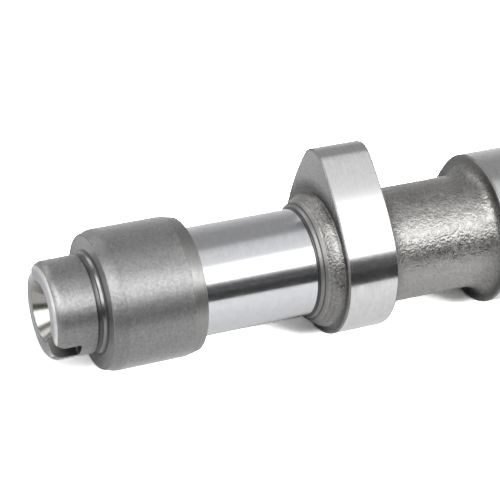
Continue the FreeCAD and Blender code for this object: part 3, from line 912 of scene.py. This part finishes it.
# %% Milled slot and keyway
# Painted shade: the walls go from plain milled steel to nearly black towards the bottom and the
# slot's floor.
MILLED_STEEL, SLOT_PAINTED_SHADE = (0.50, 0.49, 0.47), (0.05, 0.049, 0.046)
DEPTH_SHARE, SLOT_SHADE_FULL_UP_TO, SLOT_SHADE_GONE_FROM = 1.3, -18.0, 2.0
slot = faced_finish("slot", None, 0.36, False, 5.0)
along_x, _, height = xyz(slot.tree, in_mm(slot.tree))
slot_unshaded = height - (along_x - nose_end_x) * DEPTH_SHARE
slot.colour(slot_unshaded.slope(SLOT_SHADE_FULL_UP_TO, SLOT_SHADE_GONE_FROM), SLOT_PAINTED_SHADE, MILLED_STEEL)
faced_finish("keyway", MILLED_STEEL, 0.36, False, 5.0)

# %% [markdown]
# ## Milled side of a lobe
# The sides of a lobe are milled flat. Near the axis they are painted dark, as painted shade for the
# shadowed table that they mirror there, with a ragged border. The mask is the distance from the
# axis, and a little mottle is added before it is mapped, which is what makes the border ragged.

# %% Milled side of a lobe
SIDE_SHADE_FULL_UP_TO, SIDE_SHADE_GONE_FROM = 19.8, 22.8  # in mm off the axis
side = faced_finish("side", None, 0.27, True, 3.0)
_, side_y, side_z = xyz(side.tree, in_mm(side.tree))
patchy = side.mask(mottle, Size=1.4, Sharpness=1.6, Seed=13.0)
# Painted shade: dark near the axis, plain milled steel farther out.
side_unshaded = (off_axis(side_y, side_z) + patchy * 1.6).slope(SIDE_SHADE_FULL_UP_TO, SIDE_SHADE_GONE_FROM)
side.colour(side_unshaded, (0.12, 0.118, 0.115), (0.37, 0.37, 0.37))
# The border in this print is where the painted shade ends.
print("the milling cutter's border is between", SIDE_SHADE_FULL_UP_TO, "and", SIDE_SHADE_GONE_FROM, "mm off the axis")

# %% [markdown]
# ## Cast skin
# The webs and bosses glitter: thousands of small humps each mirror the light box for a moment.
# The humps come from two sizes of pebbles and the dents of the mould, as one height for a Bump
# node. True geometry already gives the broad dents, and bump adds what would need millions of
# faces. The colour mixes a random tone of sand with painted shade: the share that the tree stored
# darkens the flares, the bosses and the corners beside the lobes.

# %% Cast skin
cast = Finish("cast")
sand = cast.mask(mottle, Size=0.55, Sharpness=1.0, Seed=11.0)
dents = cast.mask(mottle, Size=1.7, Sharpness=1.2, Seed=12.0)
fine, coarse = cast.mask(pebbles, Size=0.55), cast.mask(pebbles, Size=1.1)
hollow = add(cast.tree, "ShaderNodeAttribute", output="Fac", attribute_name="hollow")
# Painted shade: the stored share darkens the skin, on top of the sand's random tone.
shade = cast.between(sand, 0.0, 0.5) + hollow * 0.55
cast.colour(shade, (0.35, 0.343, 0.333), (0.11, 0.108, 0.105))
cast.rough(cast.between(dents, 0.23, 0.50))
cast.bump(fine * 0.4 + coarse * 0.32 + dents * 0.28, 0.19)
print("cast skin has", len(cast.tree.nodes), "nodes")

# %% [markdown]
# ## Camera
# The photograph was taken from the drive end, a little above and from far away, with a long lens.
# The place was worked out from the outlines of the journals in the picture.

# %% Place the camera
camera_data = bpy.data.cameras.new("camera")
camera_data.lens, camera_data.sensor_width = 145.83, 36
camera_data.clip_start, camera_data.clip_end = 0.02, 20
camera = put_in_scene("camera", camera_data)
AZIMUTH, ELEVATION = math.radians(-23.572), math.radians(25.897)
camera.location = (-0.18255, -0.42499, 0.23114)
camera.rotation_euler = (math.pi / 2 - ELEVATION, 0, AZIMUTH)
bpy.context.scene.camera = camera
print("camera at", [round(value, 4) for value in camera.location])

# %% [markdown]
# ## A studio made of directions
# Polished steel has hardly any colour of its own: what it shows is the room. The photograph's
# room can be read from the bands on the journals: a soft white box in front and above, dark
# behind the camera's head, a grey wall behind the shaft and a white table. The world gives each
# of these as a band of directions round the shaft, while the camera itself sees plain white.

# %% Bands of light in the room
# Pairs of a bearing round the shaft, in degrees, and the light that comes from there.
BANDS = [(-180, 1.2), (-30, 1.2), (-19, 0.13), (10, 0.13), (17, 0.6), (21, 4.0), (49, 4.0),
         (54, 1.6), (58, 1.22), (66, 1.16), (72, 1.1), (80, 1.08), (92, 0.87), (98, 0.55),
         (103, 0.46), (140, 0.46), (149, 0.55), (157, 0.62), (165, 0.68), (173, 0.78), (180, 0.92)]
world = bpy.data.worlds.new("studio")
bpy.context.scene.world = world
world.use_nodes = True
world.cycles.sampling_method = "NONE"
room = world.node_tree
room.nodes.clear()
sideways, ahead, above = xyz(room, add(room, "ShaderNodeTexCoord"))
bearing = above.math("ARCTAN2", ahead * -1.0) / math.radians(360) + 0.5
ramp = room.nodes.new("ShaderNodeValToRGB")
stops = ramp.color_ramp.elements
stops.remove(stops[0])
stops[0].position, stops[0].color = 0.0, (BANDS[0][1],) * 3 + (1,)
for degrees, light in BANDS[1:]:
    stops.new(degrees / 360 + 0.5).color = (light, light, light, 1)
feed(room, bearing, ramp.inputs[0])
print(len(BANDS), "stops of light, the brightest", max(light for _, light in BANDS))

# %% [markdown]
# ## A second box, behind
# The bands follow the front of the shaft as the photograph shows it. Seen from behind, the same
# room would be an even grey and the metal would look dead. So a soft box hangs behind too, but
# only towards the drive end: the camera of the photograph mirrors the other half of the room, so
# that its picture stays the same. The table doesn't see this box at all.

# %% Soft box behind
to_table = add(room, "ShaderNodeLightPath", output="Is Diffuse Ray")
turned_to = (bearing - 0.5) * 360
box_behind = sideways.slope(0.08, -0.08) * turned_to.slope(118.0, 124.0)
box_behind = box_behind * turned_to.slope(152.0, 146.0) * (to_table * -1.0 + 1.0) * 1.8
print("the box behind takes", len(room.nodes), "nodes with the bands")

# %% [markdown]
# ## What the camera sees of the room
# The metal mirrors the bands, but the picture's own background is plain white. The Light Path
# node tells a ray that comes straight from the camera from one that comes off the metal. The
# table gets only a quarter of the room's light, because lamps of its own give it its shadow.

# %% Join bands and background
def by_ray(tree, for_metal, for_camera, surface):
    """Show the camera one shader and every other ray the other."""
    ray = tree.nodes.new("ShaderNodeLightPath").outputs["Is Camera Ray"]
    choice = tree.nodes.new("ShaderNodeMixShader")
    for place, leaving in enumerate((ray, for_metal.outputs[0], for_camera.outputs[0])):
        tree.links.new(leaving, choice.inputs[place])
    tree.links.new(choice.outputs[0], surface)


lit = room.nodes.new("ShaderNodeBackground")
feed(room, Field(room, ramp.outputs[0]) + box_behind, lit.inputs["Color"])
feed(room, to_table * -0.75 + 1.0, lit.inputs["Strength"])
plain = room.nodes.new("ShaderNodeBackground")
plain.inputs["Color"].default_value = (1, 1, 1, 1)
by_ray(room, lit, plain, room.nodes.new("ShaderNodeOutputWorld").inputs["Surface"])
print("the room has", len(room.nodes), "nodes")

# %% [markdown]
# ## Table
# A photographer puts the shaft on white paper and lights the paper more than the metal, so that
# it burns out to plain white and only a soft shadow is left under the lobes. Here the camera
# sees the paper brighter than the metal does, which comes to the same. Ambient occlusion deepens
# the shadow where the shaft comes close to the table.

# %% Table
WIDE = 4.0


def card(name, from_y, to_y, height, material):
    """A flat piece of the studio, which isn't part of the shaft. All in metres."""
    mesh = bpy.data.meshes.new(name)
    mesh.from_pydata([(-WIDE, from_y, height), (WIDE, from_y, height),
                      (WIDE, to_y, height), (-WIDE, to_y, height)], [], [(0, 1, 2, 3)])
    mesh.materials.append(material)
    made = put_in_scene(name, mesh)
    return made


def paper(name, grey):
    """A matt material without any gloss."""
    material = bpy.data.materials.new(name)
    material.use_nodes = True
    shader = material.node_tree.nodes["Principled BSDF"]
    shader.inputs["Base Color"].default_value = (grey, grey, grey, 1)
    shader.inputs["Roughness"].default_value = 0.9
    shader.inputs["Specular IOR Level"].default_value = 0.0
    return material, material.node_tree, shader


table_z = CAD_BOX[0][2]
white, tree, for_metal = paper("white table", 0.75)
for_camera = tree.nodes.new("ShaderNodeBsdfDiffuse")
# How bright the paper is, how deep the shadow gets, and from how far off the shaft makes it.
for socket, bright, deep, reach in ((for_metal.inputs["Base Color"], 0.75, 0.42, 0.03),
                                    (for_camera.inputs["Color"], 6.2, 0.8, 0.035)):
    open_sky = add(tree, "ShaderNodeAmbientOcclusion", {"Distance": reach}, output="AO")
    feed(tree, (open_sky * deep + (1 - deep)) * bright, socket)
by_ray(tree, for_metal, for_camera, tree.nodes["Material Output"].inputs["Surface"])
card("table", -WIDE, WIDE, table_z, white)
print("the table is", round(-table_z / MM, 2), "mm below the axis")

# %% [markdown]
# ## Dark card
# The lowest dark band on the journals is a painted reflection: a black card in front on the table
# that only the metal sees; the camera doesn't see it and it casts no shadow. Like a photographer's
# black card, it gives bright steel an edge.

# %% Dark card
CARD_FROM = -0.066
flag = card("dark_card", CARD_FROM, -WIDE, table_z + MM, paper("dark card", 0.03)[0])
flag.visible_camera = flag.visible_diffuse = flag.visible_shadow = False
print("the dark card starts", round(-CARD_FROM / MM), "mm in front of the axis")

# %% [markdown]
# ## Lamps
# A wide lamp, low in front and to the right, throws the lobes' shadows softly back and to the
# left. A small one behind the nose brightens the bit of paper that the end faces mirror. Both
# stay out of the metal. The left box does the opposite: it is only there to be mirrored.

# %% Lamps
LIT_SPOT = Vector((0.1, 0, 0))


def low_lamp(name, place, width, height, watts):
    """An area lamp that lights the table and isn't mirrored by the metal."""
    data = bpy.data.lights.new(name, "AREA")
    data.shape, data.size, data.size_y, data.energy = "RECTANGLE", width, height, watts
    lamp = put_in_scene(name, data)
    lamp.location = place
    lamp.rotation_euler = (LIT_SPOT - Vector(place)).to_track_quat("-Z", "Y").to_euler()
    lamp.visible_glossy = lamp.visible_camera = False
    return lamp


low_lamp("lamp_in_front", (0.95, -1.15, 0.56), 1.1, 0.5, 96)
fill = low_lamp("fill_behind_nose", (-0.075, 0.045, 0.022), 0.03, 0.03, 0.004)
fill.rotation_euler = (0, 0, 0)  # straight down
left_box = low_lamp("left_box", (-0.34, -0.25, 0.47), 0.55, 0.3, 2.1)
left_box.visible_glossy, left_box.visible_diffuse = True, False
bpy.context.scene.view_settings.view_transform = "Standard"

# %% [markdown]
